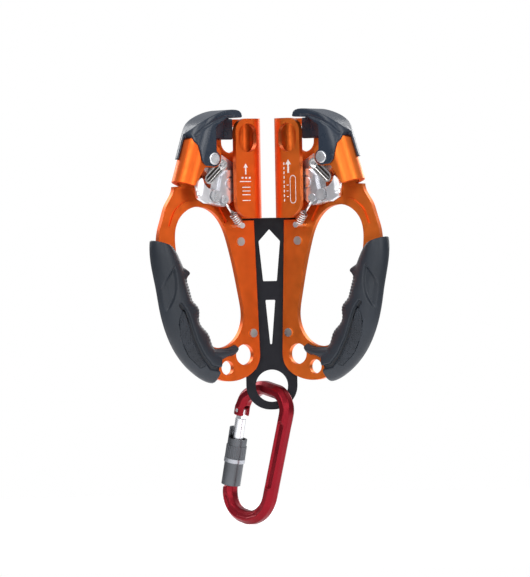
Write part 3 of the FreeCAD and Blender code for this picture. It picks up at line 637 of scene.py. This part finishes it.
def catch_fittings():
    """A near-black sheet over the floor of the folded strip's loop, painted shade inside the loop, and the bright rib
    along its middle.
    """
    for side in SIDES:
        start, stop = Vector(CATCH_PIN), Vector(CATCH_END)
        along = (stop - start).normalized()
        over = Vector((-along.y, along.x))
        depth = step(0, 1, 0, side)

        def at(run, rise, y):
            spot = start + along * run + over * rise
            return unit(spot.x, y, spot.y, side)

        length = (stop - start).length
        half = CATCH_SHADE_HALF
        face = CATCH_BACK - 0.95
        outline = []
        for k in range(9):
            a = math.pi * k / 8
            outline.append(at(length + half * math.sin(a), half * math.cos(a), face))
        outline += [at(1.9, -half, face), at(1.9, half, face)]
        # near-black sheet in the loop: painted shade
        floor = slab(f"catch_shade_sheet_{side}", outline, depth * CATCH_SHADE_THICK, "painted_shade_steel")
        placed(floor, f"catch_{side}", "strip_steel")
        front = CATCH_FRONT + 1.4
        near, far, wide = 2.6, length + 1.4, CATCH_RIB_HALF
        corners = [at(near, -wide, front), at(far, -wide, front), at(far, wide, front), at(near, wide, front)]
        rib = slab(f"catch_rib_{side}", corners, depth * CATCH_RIB_THICK, "strip_steel")
        placed(rib, f"catch_{side}", "strip_steel")


# ---- printed marks -------------------------------------------------------------------------------------
PRINT_THICK = 0.02
PRINT_PROUD = 0.03
RING_X = 8.6
RING_R = 2.2
RING_TOP_Z = 0.5
RING_FOOT_Z = -14.5


def marks():
    """Generic marks on the channel's front: an arrow up the rope, plain lines and a plain ring."""
    for side in SIDES:
        face = -FOLD_R - PRINT_PROUD
        depth = step(0, 1, 0, side) * PRINT_THICK

        def patch(corners, k):
            return slab(f"mark_{side}_{k}", [unit(x, face, z, side) for x, z in corners], depth, "print")

        def stroke(x0, z0, x1, z1, half=0.22):
            way = Vector((x1 - x0, z1 - z0)).normalized() * half
            upper = [(x0 - way.y, z0 + way.x), (x1 - way.y, z1 + way.x)]
            lower = [(x1 + way.y, z1 - way.x), (x0 + way.y, z0 - way.x)]
            return upper + lower

        def up_arrow(x, z, k):
            half = [(0.7, 0.0), (0.7, 6.0), (2.3, 6.0), (0.0, 9.5)]
            right = [(x + k * dx, z + k * dz) for dx, dz in half]
            left = [(x - k * dx, z + k * dz) for dx, dz in reversed(half[:-1])]
            return right + left

        shapes = []
        if side == "right":
            shapes.append(up_arrow(4.9, 4.5, 1.0))
            turn = [math.pi * k / 6 for k in range(7)]
            top = [(RING_X + RING_R * math.cos(a), RING_TOP_Z + RING_R * math.sin(a)) for a in turn]
            foot = [(RING_X - RING_R * math.cos(a), RING_FOOT_Z - RING_R * math.sin(a)) for a in turn]
            ring = top + foot
            shapes += [stroke(*p, *q) for p, q in zip(ring, ring[1:] + ring[:1])]
            shapes += [stroke(1.4, 12.0 - 3.2 * i, 1.4, 10.2 - 3.2 * i, 0.4) for i in range(9)]
            shapes += [stroke(3.4, -4.0 * i, 5.0, -4.0 * i) for i in (1, 2, 3)]
        else:
            shapes.append(up_arrow(6.6, 4.0, 0.8))
            shapes += [stroke(2.6 + 3.0 * i, 1.6, 4.2 + 3.0 * i, 1.6, 0.6) for i in range(3)]
            shapes += [stroke(2.4, -1.0, 11.6, -1.0, 0.3), stroke(3.0, -14.2, 9.6, -14.2, 0.3)]
            shapes += [stroke(3.0, z, 9.6, z, 0.3) for z in (-5.0, -7.6, -10.2)]
        made = [patch(corners, k) for k, corners in enumerate(shapes)]
        obj = merged(f"print_{side}", made, "print")
        placed(obj, "frame", f"anodised_{side}")


# ---- carabiner and metal castings ----------------------------------------------------------------------
SPINE_GROOVE = [(18.4, -23.0), (15.5, -68.0)]
SPINE_GROOVE_DEEP = 1.1
BOW_GROOVE_DEEP = 1.2
BOW_GROOVE = [(11.0, -84.5), (6.5, -90.3), (-2.0, -94.0), (-12.0, -94.6), (-20.5, -91.5), (-25.6, -85.5)]


def carabiner_relief(local):
    """How far each of the carabiner's points sinks towards its middle plane, in millimetres."""
    facing = eased((np.abs(local[:, 1]) - 3.6) / 1.0)
    sink = SPINE_GROOVE_DEEP * eased((2.5 - away_from(local, SPINE_GROOVE)) / 0.6)
    sink += BOW_GROOVE_DEEP * eased((1.9 - away_from(local, BOW_GROOVE)) / 0.9)
    return facing * sink


PIN_HEADS = [((29.0, -10.8), 3.9), (SPRING_PIN, 2.9)]
RECESS_DEEP = 0.9
RECESS_WIDE = 1.0


def head_recess(local):
    """How far a lever's front sinks round the pins' heads, in millimetres."""
    sink = np.zeros(len(local))
    for (x, z), radius in PIN_HEADS:
        away = np.hypot(local[:, 0] - x, local[:, 2] - z)
        sink = np.maximum(sink, RECESS_DEEP * eased((radius + RECESS_WIDE - away) / 0.4))
    return sink * eased((CATCH_FRONT + 1.2 - local[:, 1]) / 0.6)


def forgings():
    """The carabiner's forged bar with its grooves, and the levers with recesses round the pins' heads."""
    obj = softened("forged_carabiner", "carabiner_body", "carabiner", cell=0.42, rounds=4)
    co = points(obj)
    local = to_hung(co)
    inward = np.array(hung(0, -1, 0) - hung(0, 0, 0)) * np.sign(local[:, 1:2])
    put_points(obj, co + inward * carabiner_relief(local)[:, None])
    placed(obj, "carabiner", "carabiner", "carabiner_body")
    for side in SIDES:
        node = f"lever_{side}"
        obj = softened(f"cast_{node}", node, "lever_steel", cell=0.3, rounds=4)
        co = points(obj)
        inward = np.array(step(0, 1, 0, side))
        put_points(obj, co + inward * head_recess(to_unit(co, side))[:, None])
        placed(obj, f"lever_{side}", "lever_steel", node)


# ---- the CAD nodes that stay ---------------------------------------------------------------------------
def dress_nodes():
    """Gives each CAD node its material; the ones that a visual piece replaces are hidden later."""
    slots = {entry["node"]: entry["material_slot"] for entry in frame["record"]["subparts"]}
    for name, obj in frame["nodes"].items():
        obj.data.materials.clear()
        obj.data.materials.append(MATERIALS[slots[name]])


# ---- studio --------------------------------------------------------------------------------------------
def floor_material():
    """Pale floor that fades out round the object, so that no horizon shows behind it."""
    mat, tree, shader = new_material("floor")
    shader.inputs["Base Color"].default_value = (0.93, 0.93, 0.94, 1)
    shader.inputs["Roughness"].default_value = 0.9
    shader.inputs["Emission Color"].default_value = (1, 1, 1, 1)
    shader.inputs["Emission Strength"].default_value = FLOOR_GLOW
    place = tree.nodes.new("ShaderNodeTexCoord")
    away = tree.nodes.new("ShaderNodeVectorMath")
    away.operation = "LENGTH"
    tree.links.new(place.outputs["Object"], away.inputs[0])
    fade = tree.nodes.new("ShaderNodeMapRange")
    fade.interpolation_type = "SMOOTHSTEP"
    fade.inputs["From Min"].default_value = 0.15
    fade.inputs["From Max"].default_value = FLOOR_R
    tree.links.new(away.outputs["Value"], fade.inputs["Value"])
    clear = tree.nodes.new("ShaderNodeBsdfTransparent")
    mix = tree.nodes.new("ShaderNodeMixShader")
    tree.links.new(fade.outputs["Result"], mix.inputs["Fac"])
    tree.links.new(shader.outputs["BSDF"], mix.inputs[1])
    tree.links.new(clear.outputs["BSDF"], mix.inputs[2])
    tree.links.new(mix.outputs["Shader"], tree.nodes["Material Output"].inputs["Surface"])
    return mat


def studio_world():
    """A white backdrop, while the light on the object comes from a room that is bright above and dim at eye level."""
    world = bpy.data.worlds.new("studio")
    bpy.context.scene.world = world
    world.use_nodes = True
    tree = world.node_tree
    room = tree.nodes["Background"]
    place = tree.nodes.new("ShaderNodeTexCoord")
    split = tree.nodes.new("ShaderNodeSeparateXYZ")
    tree.links.new(place.outputs["Generated"], split.inputs["Vector"])
    height = tree.nodes.new("ShaderNodeMapRange")
    height.inputs["From Min"].default_value = -1.0
    tree.links.new(split.outputs["Z"], height.inputs["Value"])
    tone = ramp(tree, height.outputs["Result"], ROOM_TONES)
    tree.links.new(tone, room.inputs["Color"])
    room.inputs["Strength"].default_value = ROOM_STRENGTH
    back = tree.nodes.new("ShaderNodeBackground")
    back.inputs["Color"].default_value = (1, 1, 1, 1)
    seen = tree.nodes.new("ShaderNodeLightPath")
    mix = tree.nodes.new("ShaderNodeMixShader")
    tree.links.new(seen.outputs["Is Camera Ray"], mix.inputs["Fac"])
    tree.links.new(room.outputs["Background"], mix.inputs[1])
    tree.links.new(back.outputs["Background"], mix.inputs[2])
    tree.links.new(mix.outputs["Shader"], tree.nodes["World Output"].inputs["Surface"])


def lamp(name, place, power, width, tall, aim):
    """A rectangular area lamp, turned towards the point it aims at."""
    data = bpy.data.lights.new(name, "AREA")
    data.shape = "RECTANGLE"
    data.size, data.size_y = width, tall
    data.energy = power
    obj = bpy.data.objects.new(name, data)
    obj.location = place
    obj.rotation_mode = "QUATERNION"
    obj.rotation_quaternion = (Vector(aim) - Vector(place)).to_track_quat("-Z", "Y")
    bpy.context.scene.collection.objects.link(obj)


def studio():
    """The floor under the object, the world round it and the lamps."""
    low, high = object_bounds()
    centre = (low + high) / 2
    spot = (centre.x, centre.y, low.z)
    bpy.ops.mesh.primitive_circle_add(vertices=96, radius=FLOOR_R, fill_type="NGON", location=spot)
    floor = bpy.context.object
    floor.name = "floor"
    floor.data.materials.append(floor_material())
    floor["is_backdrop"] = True
    studio_world()
    for name, place, power, width, tall in LAMPS:
        lamp(name, place, power, width, tall, centre)


def camera():
    """A long lens straight in front of the object, rolled a little."""
    data = bpy.data.cameras.new("camera")
    data.lens = LENS
    data.sensor_width = SENSOR
    distance = VIEW_HEIGHT * MM * LENS / SENSOR
    data.clip_end = 50.0
    obj = bpy.data.objects.new("camera", data)
    obj.location = (VIEW_X * MM, -distance, VIEW_Z * MM)
    level = Euler((math.radians(90), 0, 0)).to_matrix()
    obj.rotation_euler = (level @ Matrix.Rotation(VIEW_ROLL, 3, "Z")).to_euler()
    bpy.context.scene.collection.objects.link(obj)
    bpy.context.scene.camera = obj
    bpy.context.scene.view_settings.view_transform = "Standard"


camera()
dress_nodes()
grips()
palm_covers()
cam_springs()
sleeve_coil()
catch_fittings()
marks()
forgings()
studio()
